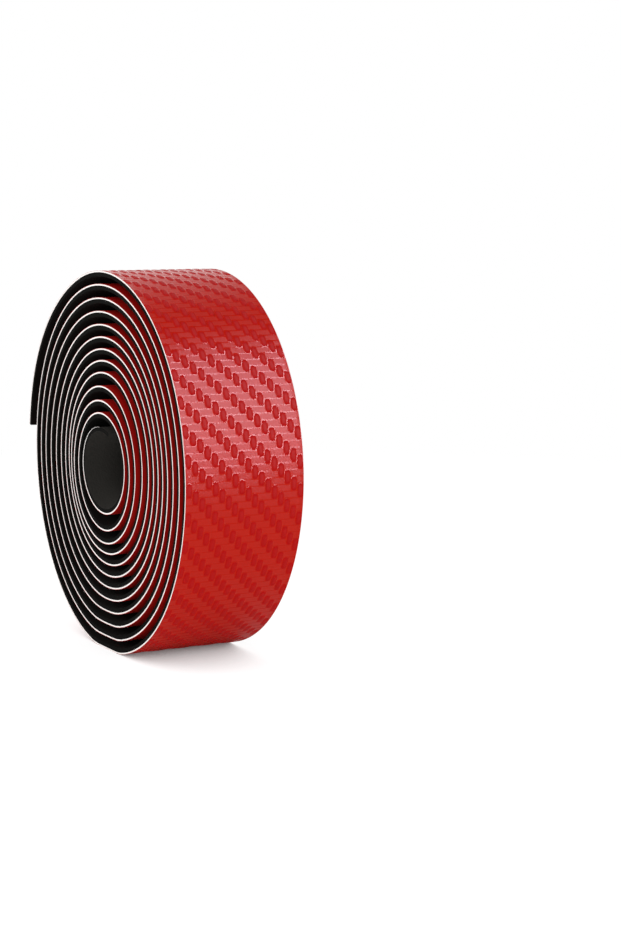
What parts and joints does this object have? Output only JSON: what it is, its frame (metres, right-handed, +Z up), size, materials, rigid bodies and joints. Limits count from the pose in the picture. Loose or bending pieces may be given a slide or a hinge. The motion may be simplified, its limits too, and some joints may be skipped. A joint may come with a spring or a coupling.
{
  "type": "handlebar tape roll",
  "caption": "Long cushioned handlebar tape wound flat into a coreless roll, with an embossed twill skin, crowned foam back, open centre and loose square-cut tail.",
  "frame": {"origin": "middle of the small flat spot that the roll rests on, under the roll's axis", "axes": "+Y along the roll's axis, away from the end face that the picture shows; +X to the right as that face is seen, with the tail on the -X side; +Z up"},
  "size_m": [0.0963, 0.0312, 0.0925],
  "materials": {
    "tape_skin": "red polyurethane skin with an embossed twill, satin gloss",
    "skin_backing": "white backing of the skin, seen at the cut edges",
    "foam_back": "black closed-cell foam, matt"
  },
  "bodies": {
    "root": {"tape_roll": "tape_skin"}
  },
  "joints": []
}
